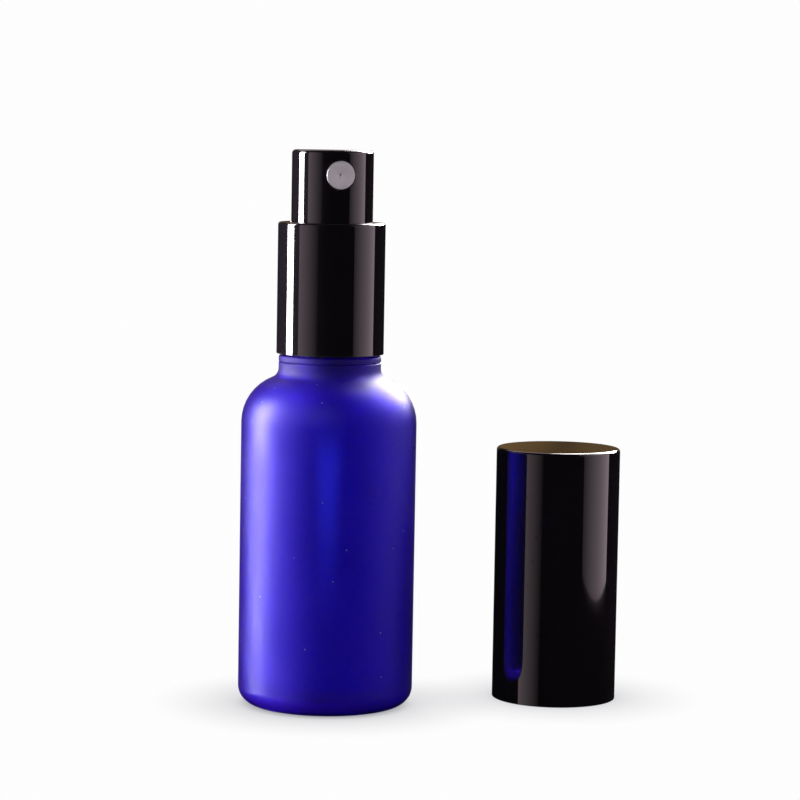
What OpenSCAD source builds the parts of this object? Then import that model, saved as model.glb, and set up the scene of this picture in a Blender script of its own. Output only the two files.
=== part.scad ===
// Perfume atomiser: a glass bottle with a screw-on fine-mist pump, and its overcap standing beside it.
// Millimetres. The origin is the middle of the bottle's base, +Z is up, and the overcap is on the +X side.

/* [Bottle] */
// Diameter of the glass body
bottle_d = 33; // [27:0.5:40]
// Height from the base to the sealing face on the neck
bottle_h = 80.5; // [66.5:0.5:97]
// Thickness of the glass wall
glass_t = 2.2; // [1.8:0.1:2.7]
// Thickness of the glass base
base_t = 3; // [2.4:0.1:4]
// Radius between the side and the base
heel_r = 3.5; // [2.8:0.1:4.2]
// Radius of the round shoulder
shoulder_r = 9; // [7.5:0.1:10]
// Radius of the hollow where the shoulder meets the neck
neck_fillet_r = 2; // [1.6:0.1:2.4]
// Depth of the hollow under the base
punt_h = 0.8; // [0.5:0.1:1.2]
// Width of the flat ring that the bottle stands on
foot_w = 3; // [2.4:0.1:3.6]
// Height of the neck ring between the shoulder and the thread
neck_ring_h = 3.7; // [3:0.1:4.5]
// How far the neck ring's face is inside the collar's face
neck_ring_inset = 0.45; // [0.3:0.05:0.6]

/* [Neck thread] */
// Diameter over the thread of the neck
thread_d = 17.7; // [16:0.1:21.5]
// Depth of the thread
thread_depth = 0.85; // [0.7:0.05:1.02]
// Rise of the thread in one turn
thread_pitch = 3; // [2.8:0.1:3.6]
// Turns of thread
thread_turns = 1.5; // [1.25:0.05:1.8]
// Width of the thread at its root
thread_w = 1.7; // [1.4:0.05:1.8]
// Width of the thread at its crest
thread_crest_w = 0.6; // [0.5:0.05:0.7]
// Height of the neck above the neck ring
finish_h = 14.3; // [12.9:0.1:17.2]
// Diameter of the hole through the neck
mouth_d = 11.2; // [9.6:0.1:11.8]

/* [Collar] */
// Thickness of the plastic wall round the thread
closure_t = 0.65; // [0.5:0.05:0.8]
// Thickness of the wall that guides the button
guide_t = 1.75; // [1.45:0.05:2.1]
// Thickness of the web that clamps the pump on the neck
web_t = 1.2; // [1:0.05:1.45]
// Thickness of the metal skin on the collar and on the button
skin_t = 0.3; // [0.25:0.01:0.36]
// Thickness of the gasket on the sealing face
gasket_t = 0.8; // [0.6:0.05:1]

/* [Button] */
// Height of the button above the collar
button_h = 13.5; // [12:0.1:17]
// Travel of the button
stroke = 4.5; // [3.8:0.1:5.4]
// How far the released button still reaches into the collar
button_overlap = 1.5; // [1.2:0.1:1.8]
// Wall of the button's plastic body
button_wall = 1; // [0.8:0.05:1.2]
// Distance of the spray opening below the button's top
nozzle_drop = 4.6; // [3.9:0.1:5.5]
// Angle of the spray opening from the front, towards the overcap
nozzle_turn = 0; // [-90:0.5:90]
// Diameter of the spray insert
insert_d = 5.3; // [4.4:0.1:6.3]
// Diameter of the spray orifice
orifice_d = 0.3; // [0.25:0.01:0.4]

/* [Pump] */
// Bore of the pump cylinder
pump_bore_d = 6.2; // [5.8:0.02:7.5]
// Wall of the pump cylinder
pump_wall = 1; // [0.8:0.05:1.15]
// Thickness of the flange on the pump cylinder
flange_t = 1.2; // [1:0.05:1.45]
// Wall of the wide cup at the top of the cylinder
cup_wall = 1.1; // [0.9:0.05:1.2]
// Depth of that cup
cup_depth = 5.3; // [4.5:0.1:6.3]
// Outside diameter of the stem
stem_d = 3.8; // [3.2:0.1:4.2]
// Bore of the stem
stem_bore_d = 1.8; // [1.5:0.1:2.1]
// Length of the piston
piston_h = 4; // [3.4:0.1:4.8]
// Travel of the piston on the stem
piston_slip = 0.6; // [0.5:0.05:0.72]
// Length of the return spring when the button is up
spring_h = 9.5; // [9:0.1:11.4]
// Wire of the return spring
spring_wire = 0.5; // [0.42:0.01:0.55]
// Diameter of the inlet ball
ball_d = 2.5; // [2.1:0.1:3]
// Lift of the inlet ball
ball_lift = 0.8; // [0.7:0.05:0.95]
// Outside diameter of the dip tube
dip_d = 3; // [2.6:0.1:3.6]
// Bore of the dip tube
dip_bore_d = 1.8; // [1.5:0.1:2.1]
// Gap between the dip tube's end and the glass base
dip_gap = 1.3; // [1:0.1:2]

/* [Overcap] */
// Thickness of the overcap's metal shell
cap_skin_t = 0.4; // [0.33:0.01:0.48]
// Wall of the overcap's plastic liner
liner_t = 1.25; // [1:0.05:1.5]
// Free height above the button when the overcap is on
cap_headroom = 4.9; // [4:0.1:6]
// Distance between the bottle's side and the overcap's side
cap_gap = 16.8; // [5:0.1:40]

/* [Hidden] */

$fn = 96;
arc_steps = 12;         // straight steps in a quarter turn of an outline's round corner
eps = 0.01;             // overrun of a cutting solid

// clearances
press_gap = 0.02;       // pieces pressed together
run_gap = 0.06;         // stem in its guides, piston in its cylinder
thread_gap = 0.25;      // between the two threads
guide_gap = 0.35;       // button in the collar
neck_gap = 0.3;         // neck ring below the collar, pump in the mouth
cap_slip = 0.1;         // liner's ribs over the collar
face_gap = 0.02;        // flat faces of pieces that move apart
stop_gap = 0.1;         // stem shoulder below its gasket
button_floor_gap = 0.4; // pressed button above the web

// small edges
edge_r = 0.5;           // top edge of the collar
button_edge_r = 0.7;    // top edge of the button
cap_edge_r = 0.6;       // top edge of the overcap
mouth_edge_r = 0.8;     // outer edge of the sealing face
lip_r = 1.5;            // inner edge at the foot of the neck's bore
glass_edge_r = 0.5;     // top edge of the neck ring
floor_r = 3;            // inner corner between side and base
chamfer = 0.3;

// neck clamp and turret
clamp_lip = 0.4;        // pump flange beyond the sealing face
clamp_gap = 0.2;        // closure round the pump flange
bead_gap = 0.15;        // snap bead round the sealing face
bead_h = 0.4;
bead_lift = 0.2;        // snap bead above the sealing face
turret_t = 1;
boss_t = 2.5;           // wall of the turret's boss round the stem
web_hole_gap = 0.6;     // web round the turret's boss

// inner walls and small pieces of the pump
stem_gasket_t = 0.8;
shoulder_t = 0.8;       // stem shoulder under the gasket
shoulder_gap = 0.3;     // stem shoulder in the cylinder
piston_wire = 0.3;      // wire of the piston's spring
piston_spring_turns = 3;
spring_slack = 0.2;     // part of a wire that a pressed coil keeps in each turn
spring_room = 0.14;     // left of the piston's spring when it is pressed
coil_gap = 0.65;        // return spring in the cylinder
coil_stem_gap = 0.1;    // piston spring round the stem
valve_t = 1;            // valve head under the piston
valve_gap = 0.6;        // valve head in the cylinder
cage_t = 1.5;           // ring over the inlet ball
ball_gap = 0.35;        // ball in its chamber
ball_stop_gap = 0.25;   // lifted ball below its ring
seat_w = 0.45;          // inlet's rim inside the ball's radius
seat_t = 0.8;           // wall between the ball's seat and the dip tube
socket_h = 7;           // dip tube's length in its socket
nipple_t = 1;           // wall of that socket
foot_drop = 1.6;        // stem's end below the piston's top

// the button's post and the spray channel
stem_overlap = 4.5;     // stem's length in the post
stem_end_gap = 0.2;     // stem's end below its socket's end
post_gap = 0.5;         // pressed post above the turret's boss
post_t = 1.25;          // wall of the post
channel_r = 0.8;
swirl_r = 0.35;         // channel that feeds the insert
pin_r = 1;              // pin inside the insert
insert_l = 3;           // length of the insert's pocket
insert_inset = 0.3;     // insert's face inside the button's face

// the overcap's liner
liner_rib_h = 0.3;
liner_top_t = 1;
liner_z = 0.3;          // liner's rim above the overcap's rim

// heights of the neck, from the sealing face down
seal_z = bottle_h;
finish_z = seal_z - finish_h;
shoulder_top_z = finish_z - neck_ring_h;
shoulder_z = shoulder_top_z - shoulder_r;

// radii of the bottle
bottle_r = bottle_d / 2;
inner_r = bottle_r - glass_t;
shoulder_x = bottle_r - shoulder_r;
thread_r = thread_d / 2;
finish_r = thread_r - thread_depth;
mouth_r = mouth_d / 2;

// middles of the two threads where they start, and how far a ridge is sunk into its wall
thread_top_drop = 2.6;
thread_flank_gap = 0.2;
thread_z = seal_z - thread_top_drop - thread_pitch * thread_turns;
thread_drop = (thread_w + thread_crest_w) / 2 + thread_flank_gap;
nut_thread_w = thread_w - thread_flank_gap;
sunk = 0.3;

// radii of the collar, the button and the overcap, from the thread outwards
nut_r = thread_r + thread_gap;
closure_r = nut_r + closure_t;
collar_r = closure_r + press_gap + skin_t;
guide_r = closure_r - guide_t;
button_r = guide_r - guide_gap;
core_r = button_r - skin_t - press_gap;
insert_r = insert_d / 2;
liner_rib_r = collar_r + cap_slip;
liner_bore_r = liner_rib_r + liner_rib_h;
liner_r = liner_rib_r + liner_t;
cap_r = liner_r + press_gap + cap_skin_t;
neck_r = collar_r - neck_ring_inset;

// heights of the pump's clamped stack, from the sealing face up
flange_z = seal_z + gasket_t;
flange_top_z = flange_z + flange_t;
turret_top_z = flange_top_z + turret_t;
web_top_z = turret_top_z + web_t;
boss_h = 2;
boss_r = stem_d / 2 + boss_t;
boss_top_z = turret_top_z + boss_h;
clamp_r = finish_r + clamp_lip;
bead_r = finish_r + bead_gap;

// heights of the collar and the button
closure_z = finish_z + neck_gap;
button_z = web_top_z + button_floor_gap + stroke;
collar_top_z = button_z + button_overlap;
button_top_z = collar_top_z + button_h;
nozzle_z = button_top_z - nozzle_drop;

// the pump cylinder, from its cup down
bore_r = pump_bore_d / 2;
cylinder_r = bore_r + pump_wall;
cup_outer_r = mouth_r - neck_gap;
cup_r = cup_outer_r - cup_wall;
cup_z = flange_top_z - cup_depth;
stem_r = stem_d / 2;
stem_bore_r = stem_bore_d / 2;
stem_shoulder_r = bore_r - shoulder_gap;
stem_shoulder_z = cup_z - stop_gap - shoulder_t;
piston_spring_h = piston_wire * (piston_spring_turns + spring_slack) + piston_slip + spring_room;
piston_z = stem_shoulder_z - piston_spring_h - piston_h;
valve_r = bore_r - valve_gap;
valve_z = piston_z - valve_t;
spring_z = valve_z - spring_h;
spring_turns = 8;
coil_r = bore_r - coil_gap - spring_wire / 2;
cage_z = spring_z - cage_t;

// the inlet valve: a ball on a cone of 45 degrees
ball_r = ball_d / 2;
chamber_r = ball_r + ball_gap;
inlet_r = ball_r - seat_w;
ball_z = cage_z - ball_stop_gap - ball_lift - ball_r;
seat_z = ball_z - (ball_r + face_gap) * sqrt(2) + inlet_r;

// the dip tube and its socket
dip_r = dip_d / 2;
dip_bore_r = dip_bore_d / 2;
socket_z = seat_z - seat_t;
nipple_r = dip_r + press_gap + nipple_t;
dip_z = base_t + dip_gap;

// the stem and the button's post
post_z = boss_top_z + stroke + post_gap;
stem_top_z = post_z + stem_overlap;
socket_top_z = stem_top_z + stem_end_gap;
post_r = stem_r + run_gap + post_t;
stem_foot_z = piston_z + piston_h - foot_drop;

// the overcap
cap_x = bottle_r + cap_gap + cap_r;
cap_h = button_top_z - shoulder_top_z + cap_headroom + liner_top_t + cap_skin_t;

// Points of an arc round [x, z] from one angle to another.
function arc(x, z, r, from, to) =
    let (n = max(3, ceil(abs(to - from) / 90 * arc_steps)))
    [for (i = [0:n]) let (a = from + (to - from) * i / n) [x + r * cos(a), z + r * sin(a)]];

// A closed tube of cross-sections that all have the same number of points.
module skin(rings) {
    sides = len(rings[0]);
    last = len(rings) - 1;
    walls = [for (i = [0:last - 1]) for (k = [0:sides - 1])
        let (a = sides * i + k, b = sides * i + (k + 1) % sides)
        each [[a, b, b + sides], [a, b + sides, a + sides]]];
    start = [for (k = [sides - 1:-1:0]) k];
    end = [for (k = [0:sides - 1]) sides * last + k];
    polyhedron([for (ring = rings) each ring], concat([start, end], walls), convexity = 8);
}

// A right-hand thread ridge. Its crest grows out of the wall at both ends.
thread_steps = 36;
thread_lead = 4;
module ridge(root_r, crest_r, root_w, crest_w, z) {
    n = floor(thread_turns * thread_steps);
    low_is_root = root_r < crest_r;
    rings = [for (i = [0:n])
        let (a = i * 360 / thread_steps,
             mid = z + i * thread_pitch / thread_steps,
             grow = min(1, (i + 0.5) / thread_lead, (n - i + 0.5) / thread_lead),
             tip_r = root_r + (crest_r - root_r) * grow,
             in_r = low_is_root ? root_r : tip_r,
             out_r = low_is_root ? tip_r : root_r,
             in_w = low_is_root ? root_w : crest_w,
             out_w = low_is_root ? crest_w : root_w)
        [for (p = [[in_r, -in_w], [out_r, -out_w], [out_r, out_w], [in_r, in_w]])
            [p[0] * cos(a), p[0] * sin(a), mid + p[1] / 2]]];
    skin(rings);
}

// A compression spring with one closed turn at each end.
coil_steps = 20;
coil_sides = 8;
closed_rise = 1.04;     // rise of a closed turn, in wires
module coil(r, wire, z, h, turns) {
    closed = wire * closed_rise;
    free = h - wire - 2 * closed;
    function height(t) =
        t < 1 ? closed * t :
        t > turns - 1 ? h - wire - closed * (turns - t) :
        closed + free * (t - 1) / (turns - 2);
    n = turns * coil_steps;
    rings = [for (i = [0:n])
        let (t = i / coil_steps, mid = z + wire / 2 + height(t))
        [for (k = [0:coil_sides - 1])
            let (b = k * 360 / coil_sides, x = r + wire / 2 * cos(b))
            [x * cos(t * 360), x * sin(t * 360), mid + wire / 2 * sin(b)]]];
    skin(rings);
}

// Turns its children from +Z to the direction in which the button sprays, at the height of the opening.
module at_nozzle() {
    translate([0, 0, nozzle_z]) rotate([0, 0, nozzle_turn]) rotate([90, 0, 0]) children();
}

module ring(outer, inner, z, h) {
    translate([0, 0, z]) difference() {
        cylinder(h = h, r = outer);
        translate([0, 0, -eps]) cylinder(h = h + 2 * eps, r = inner);
    }
}

module glass_bottle() color([0.1, 0.04, 0.7, 0.55]) {
    fillet_x = neck_r + neck_fillet_r;
    fillet_z = shoulder_z + sqrt(pow(shoulder_r + neck_fillet_r, 2) - pow(fillet_x - shoulder_x, 2));
    fillet_a = atan2(fillet_z - shoulder_z, fillet_x - shoulder_x);
    in_shoulder_r = shoulder_r - glass_t;
    lip_x = max(0, mouth_r + lip_r - shoulder_x);
    lip_z = shoulder_z + sqrt(pow(in_shoulder_r + lip_r, 2) - pow(lip_x, 2));
    lip_a = atan2(lip_z - shoulder_z, lip_x);
    foot_in_r = bottle_r - heel_r - foot_w;
    punt_steps = 8;
    outline = concat(
        [for (i = [0:punt_steps - 1]) let (f = i / punt_steps) [foot_in_r * f, punt_h * (1 - f * f)]],
        [[foot_in_r, 0]],
        arc(bottle_r - heel_r, heel_r, heel_r, -90, 0),
        arc(shoulder_x, shoulder_z, shoulder_r, 0, fillet_a),
        arc(fillet_x, fillet_z, neck_fillet_r, fillet_a + 180, 180),
        arc(neck_r - glass_edge_r, finish_z - glass_edge_r, glass_edge_r, 0, 90),
        [[finish_r, finish_z]],
        arc(finish_r - mouth_edge_r, seal_z - mouth_edge_r, mouth_edge_r, 0, 90),
        [[mouth_r + chamfer, seal_z], [mouth_r, seal_z - chamfer]],
        arc(mouth_r + lip_r, lip_z, lip_r, 180, lip_a + 180),
        arc(shoulder_x, shoulder_z, in_shoulder_r, lip_a, 0),
        arc(inner_r - floor_r, base_t + floor_r, floor_r, 0, -90),
        [[0, base_t]]);
    union() {
        rotate_extrude() polygon(outline);
        ridge(finish_r - sunk, thread_r, thread_w, thread_crest_w, thread_z);
    }
}

module neck_gasket() color("whitesmoke") {
    ring(finish_r, cup_outer_r + press_gap, seal_z, gasket_t);
}

module pump_housing() color([0.93, 0.93, 0.95]) {
    neck_down_h = 1;
    taper_h = cylinder_r - nipple_r;
    cup_foot_z = cup_z - pump_wall;
    rotate_extrude() polygon([
        [dip_r + press_gap, socket_z - socket_h],
        [nipple_r, socket_z - socket_h],
        [nipple_r, seat_z],
        [cylinder_r, seat_z + taper_h],
        [cylinder_r, cup_foot_z - neck_down_h],
        [cup_outer_r, cup_foot_z],
        [cup_outer_r, flange_z],
        [clamp_r, flange_z],
        [clamp_r, flange_top_z],
        [cup_r, flange_top_z],
        [cup_r, cup_z],
        [bore_r, cup_z],
        [bore_r, cage_z],
        [chamber_r, cage_z],
        [chamber_r, seat_z + chamber_r - inlet_r],
        [inlet_r, seat_z],
        [inlet_r, socket_z],
        [dip_r + press_gap, socket_z]]);
}

module dip_tube() color([0.9, 0.93, 1, 0.7]) {
    notch_share = 0.6;
    notch = dip_d * notch_share;
    difference() {
        ring(dip_r, dip_bore_r, dip_z, socket_z - dip_z);
        translate([0, 0, dip_z]) rotate([0, 45, 0]) cube([notch, 2 * dip_d, notch], center = true);
    }
}

module ball_cage() color("white") {
    slot_w = 0.7;
    slot_inset = 0.1;
    hole_share = 0.7;
    difference() {
        ring(bore_r - press_gap, ball_r * hole_share, cage_z, cage_t);
        for (a = [0:60:120])
            translate([0, 0, cage_z + cage_t / 2]) rotate([0, 0, a])
                cube([2 * (chamber_r - slot_inset), slot_w, cage_t + 2 * eps], center = true);
    }
}

module inlet_ball() color("silver") {
    translate([0, 0, ball_z]) sphere(r = ball_r);
}

module return_spring() color("silver") {
    coil(coil_r, spring_wire, spring_z + face_gap, spring_h - 2 * face_gap, spring_turns);
}

module turret() color("white") {
    sleeve_z = cup_z + stem_gasket_t;
    sleeve_gap = 0.8;
    sleeve_in_r = stem_r + sleeve_gap;
    rotate_extrude() polygon([
        [sleeve_in_r, sleeve_z],
        [cup_r - press_gap, sleeve_z],
        [cup_r - press_gap, flange_top_z],
        [clamp_r, flange_top_z],
        [clamp_r, turret_top_z],
        [boss_r, turret_top_z],
        [boss_r, boss_top_z - chamfer],
        [boss_r - chamfer, boss_top_z],
        [stem_r + run_gap, boss_top_z],
        [stem_r + run_gap, turret_top_z - chamfer],
        [sleeve_in_r, turret_top_z - chamfer - sleeve_gap + run_gap]]);
}

module stem_gasket() color("dimgray") {
    ring(cup_r - press_gap, stem_r + run_gap, cup_z, stem_gasket_t);
}

module upper_stem() color("white") {
    difference() {
        union() {
            translate([0, 0, stem_foot_z]) cylinder(h = stem_top_z - stem_foot_z, r = stem_r);
            translate([0, 0, stem_shoulder_z]) cylinder(h = shoulder_t, r = stem_shoulder_r);
        }
        translate([0, 0, stem_foot_z - eps])
            cylinder(h = stem_top_z - stem_foot_z + 2 * eps, r = stem_bore_r);
    }
}

module lower_stem() color("white") {
    port_t = 0.6;
    port_r = stem_r - port_t;
    spigot_gap = 0.75;
    spigot_r = coil_r - spring_wire / 2 - spigot_gap;
    spigot_h = 3.6;
    groove_lift = 1;
    groove_x = 0.4;
    plug_h = 2.5;
    plug_r = stem_bore_r - press_gap;
    difference() {
        union() {
            translate([0, 0, valve_z - spigot_h]) cylinder(h = spigot_h + eps, r = spigot_r);
            translate([0, 0, valve_z]) cylinder(h = valve_t - face_gap, r = valve_r);
            translate([0, 0, valve_z + eps]) cylinder(h = stem_foot_z - valve_z - eps, r = port_r);
            translate([0, 0, stem_foot_z - eps]) cylinder(h = plug_h + eps, r = plug_r);
        }
        // the groove that lets the liquid pass up into the hollow stem
        translate([groove_x, -port_r, piston_z + groove_lift])
            cube([port_r, 2 * port_r, piston_h + plug_h]);
    }
}

module piston() color("white") {
    lip_h = 0.8;
    lip_out_r = bore_r - run_gap;
    sleeve_r = stem_r + run_gap;
    waist_share = 0.45;
    waist_r = sleeve_r + (lip_out_r - sleeve_r) * waist_share;
    flare_h = 0.5;
    rotate_extrude() polygon([
        [sleeve_r, piston_z],
        [lip_out_r, piston_z],
        [lip_out_r, piston_z + lip_h],
        [waist_r, piston_z + lip_h + flare_h],
        [waist_r, piston_z + piston_h - lip_h - flare_h],
        [lip_out_r, piston_z + piston_h - lip_h],
        [lip_out_r, piston_z + piston_h],
        [sleeve_r, piston_z + piston_h]]);
}

module piston_spring() color("silver") {
    coil(stem_r + run_gap + piston_wire / 2 + coil_stem_gap, piston_wire, piston_z + piston_h + face_gap,
         piston_spring_h - 2 * face_gap, piston_spring_turns);
}

module screw_closure() color([0.08, 0.08, 0.09]) {
    clamp_in_r = clamp_r + clamp_gap;
    bead_z = seal_z + bead_lift;
    web_hole_r = boss_r + web_hole_gap;
    union() {
        rotate_extrude() polygon([
            [nut_r, closure_z + chamfer],
            [nut_r + chamfer, closure_z],
            [closure_r, closure_z],
            [closure_r, collar_top_z - skin_t - press_gap],
            [guide_r, collar_top_z - skin_t - press_gap],
            [guide_r, web_top_z],
            [web_hole_r, web_top_z],
            [web_hole_r, turret_top_z + face_gap],
            [clamp_in_r, turret_top_z + face_gap],
            [clamp_in_r, bead_z + bead_h],
            [bead_r, bead_z + bead_h],
            [bead_r, bead_z],
            [nut_r, bead_z - (nut_r - bead_r)]]);
        ridge(nut_r + sunk, finish_r + sunk, nut_thread_w, thread_crest_w, thread_z - thread_drop);
    }
}

module collar_shell() color([0.03, 0.025, 0.03]) {
    in_r = closure_r + press_gap;
    rotate_extrude() polygon(concat(
        [[in_r, closure_z], [collar_r, closure_z]],
        arc(collar_r - edge_r, collar_top_z - edge_r, edge_r, 0, 90),
        [[guide_r, collar_top_z], [guide_r, collar_top_z - skin_t], [in_r, collar_top_z - skin_t]]));
}

module actuator_core() color([0.08, 0.08, 0.09]) {
    top_t = 1.2;
    top_z = button_top_z - skin_t - press_gap;
    corner_r = button_edge_r - skin_t;
    rib_t = 0.8;
    rib_lift = 5;
    rib_z = post_z + rib_lift;
    rib_count = 4;
    boss_wall = 0.9;
    boss_out_r = insert_r + press_gap + boss_wall;
    pin_h = 2;
    pocket_y = core_r - insert_l;
    feed_y = pin_r + swirl_r;
    difference() {
        union() {
            rotate_extrude() polygon(concat(
                [[core_r - button_wall, button_z], [core_r, button_z]],
                arc(core_r - corner_r, top_z - corner_r, corner_r, 0, 90),
                [[0, top_z], [0, top_z - top_t], [core_r - button_wall, top_z - top_t]]));
            translate([0, 0, post_z]) cylinder(h = top_z - top_t / 2 - post_z, r = post_r);
            for (i = [0:rib_count - 1])
                rotate([0, 0, nozzle_turn + 45 + i * 360 / rib_count])
                    translate([0, -rib_t / 2, rib_z])
                        cube([core_r - button_wall / 2, rib_t, top_z - top_t / 2 - rib_z]);
            intersection() {
                at_nozzle() cylinder(h = core_r, r = boss_out_r);
                translate([0, 0, button_z]) cylinder(h = button_h, r = core_r - button_wall / 2);
            }
        }
        translate([0, 0, post_z - eps]) cylinder(h = socket_top_z - post_z + eps, r = stem_r + run_gap);
        translate([0, 0, socket_top_z - eps]) cylinder(h = nozzle_z - socket_top_z, r = channel_r);
        at_nozzle() translate([0, 0, pocket_y]) difference() {
            cylinder(h = core_r, r = insert_r + press_gap);
            translate([0, 0, -eps]) cylinder(h = pin_h, r = pin_r);
        }
        at_nozzle() translate([0, feed_y, 0]) cylinder(h = pocket_y + eps, r = swirl_r);
        at_nozzle() rotate([-90, 0, 0]) cylinder(h = feed_y, r = swirl_r);
    }
}

module actuator_shell() color([0.03, 0.025, 0.03]) {
    in_r = button_r - skin_t;
    in_top_z = button_top_z - skin_t;
    hole_gap = 0.15;
    hole_r = insert_r + hole_gap;
    difference() {
        rotate_extrude() polygon(concat(
            [[in_r, button_z], [button_r, button_z]],
            arc(button_r - button_edge_r, button_top_z - button_edge_r, button_edge_r, 0, 90),
            [[0, button_top_z], [0, in_top_z]],
            arc(in_r - button_edge_r + skin_t, in_top_z - button_edge_r + skin_t,
                button_edge_r - skin_t, 90, 0)));
        at_nozzle() translate([0, 0, core_r / 2]) cylinder(h = button_r, r = hole_r);
    }
}

module nozzle_insert() color("gainsboro") {
    foot_gap = 0.1;
    face_y = button_r - insert_inset;
    foot_y = core_r - insert_l + foot_gap;
    cavity_r = pin_r + foot_gap;
    cavity_h = 2.1;
    dimple_r = 0.6;
    dimple_h = 0.35;
    at_nozzle() translate([0, 0, foot_y]) difference() {
        cylinder(h = face_y - foot_y, r = insert_r);
        translate([0, 0, -eps]) cylinder(h = cavity_h + eps, r = cavity_r);
        cylinder(h = face_y, r = orifice_d / 2);
        translate([0, 0, face_y - foot_y - dimple_h])
            cylinder(h = dimple_h + eps, r1 = orifice_d / 2 + eps, r2 = dimple_r);
    }
}

module cap_liner() color([0.08, 0.08, 0.09]) {
    rib_count = 12;
    rib_r = 0.6;
    rib_foot_z = 2.5;
    top_z = cap_h - cap_skin_t - press_gap;
    rib_h = top_z - liner_top_t / 2 - rib_foot_z;
    translate([cap_x, 0, 0]) union() {
        rotate_extrude() polygon([
            [liner_bore_r + chamfer, liner_z],
            [liner_r, liner_z],
            [liner_r, top_z - cap_edge_r],
            [liner_r - cap_edge_r, top_z],
            [0, top_z],
            [0, top_z - liner_top_t],
            [liner_bore_r, top_z - liner_top_t],
            [liner_bore_r, liner_z + chamfer]]);
        for (i = [0:rib_count - 1])
            rotate([0, 0, i * 360 / rib_count])
                translate([liner_rib_r + rib_r, 0, rib_foot_z])
                    intersection() {
                        cylinder(h = rib_h, r = rib_r, $fn = 24);
                        translate([-rib_r, -rib_r, 0]) cube([liner_rib_h + sunk, 2 * rib_r, rib_h]);
                    }
    }
}

module cap_shell() color([0.03, 0.025, 0.03]) {
    in_r = cap_r - cap_skin_t;
    in_top_z = cap_h - cap_skin_t;
    translate([cap_x, 0, 0]) rotate_extrude() polygon(concat(
        [[in_r, 0], [cap_r, 0]],
        arc(cap_r - cap_edge_r, cap_h - cap_edge_r, cap_edge_r, 0, 90),
        [[0, cap_h], [0, in_top_z], [in_r - cap_edge_r + cap_skin_t, in_top_z],
         [in_r, in_top_z - cap_edge_r + cap_skin_t]]));
}

glass_bottle();
neck_gasket();
pump_housing();
dip_tube();
ball_cage();
inlet_ball();
return_spring();
turret();
stem_gasket();
upper_stem();
lower_stem();
piston();
piston_spring();
screw_closure();
collar_shell();
actuator_core();
actuator_shell();
nozzle_insert();
cap_liner();
cap_shell();
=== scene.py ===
import math
import bmesh
import bpy
from mathutils import Matrix, Vector


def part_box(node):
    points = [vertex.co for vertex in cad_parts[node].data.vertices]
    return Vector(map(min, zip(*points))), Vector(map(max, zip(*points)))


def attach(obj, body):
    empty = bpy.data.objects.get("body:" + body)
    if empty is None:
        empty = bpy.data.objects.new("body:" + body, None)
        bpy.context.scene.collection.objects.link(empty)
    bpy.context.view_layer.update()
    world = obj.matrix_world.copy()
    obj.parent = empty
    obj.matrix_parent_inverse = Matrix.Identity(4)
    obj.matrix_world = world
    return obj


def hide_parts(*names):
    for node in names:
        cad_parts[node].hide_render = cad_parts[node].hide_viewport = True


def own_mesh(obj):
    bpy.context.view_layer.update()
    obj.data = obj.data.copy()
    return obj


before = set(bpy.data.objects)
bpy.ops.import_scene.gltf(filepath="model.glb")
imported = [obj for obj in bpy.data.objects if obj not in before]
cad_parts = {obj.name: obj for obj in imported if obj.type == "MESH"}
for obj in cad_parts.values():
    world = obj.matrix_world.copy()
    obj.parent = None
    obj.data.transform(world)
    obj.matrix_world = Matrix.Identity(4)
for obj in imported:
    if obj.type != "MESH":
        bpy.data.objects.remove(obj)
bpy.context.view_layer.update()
print("frame loaded")

mm = 0.001
cornerSteps = 10   # steps in a quarter turn of an outline's rounded corner
turnSteps = 192    # steps round a turned piece
nozzleSteps = 96   # steps round the spray insert and its hole


def extent(node):
    low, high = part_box(node)
    return {"r": (high[0] - low[0]) / 2, "x": (high[0] + low[0]) / 2, "z0": low[2], "z1": high[2]}


# ---- outlines and turned pieces

def trace(bm, moves):
    # a point is (radius, height); an arc is (centre radius, centre height, degrees turned)
    last = bm.verts.new((moves[0][0], 0, moves[0][1]))
    for move in moves[1:]:
        if len(move) == 2:
            point = bm.verts.new((move[0], 0, move[1]))
            bm.edges.new((last, point))
            last = point
        else:
            steps = max(3, math.ceil(abs(move[2]) / 90 * cornerSteps))
            arc = bmesh.ops.spin(bm, geom=[last], cent=(move[0], 0, move[1]), axis=(0, -1, 0),
                                 angle=math.radians(move[2]), steps=steps)
            last = arc["geom_last"][0]


def corners(bm, points):
    # a corner is (radius, height, rounding), and the rounding is for a square corner
    made = [bm.verts.new((p[0], 0, p[1])) for p in points]
    for i in range(len(made)):
        bm.edges.new((made[i], made[(i + 1) % len(made)]))
    for vert, point in zip(made, points):
        if len(point) == 3:
            bmesh.ops.bevel(bm, geom=[vert], offset=point[2], segments=cornerSteps, profile=0.5,
                            affect="VERTICES", material=-1)


def openAxis(bm):
    # an outline's edge along the axis would spin into nothing
    onAxis = [e for e in bm.edges if all(abs(v.co.x) < 1e-9 for v in e.verts)]
    bmesh.ops.delete(bm, geom=onAxis, context="EDGES")


def spinRound(bm, steps=turnSteps):
    bmesh.ops.spin(bm, geom=bm.verts[:] + bm.edges[:], cent=(0, 0, 0), axis=(0, 0, 1),
                   angle=2 * math.pi, steps=steps, use_merge=True)
    bmesh.ops.remove_doubles(bm, verts=bm.verts[:], dist=1e-6)
    bmesh.ops.dissolve_degenerate(bm, edges=bm.edges[:], dist=1e-7)
    bmesh.ops.recalc_face_normals(bm, faces=bm.faces[:])


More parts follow.
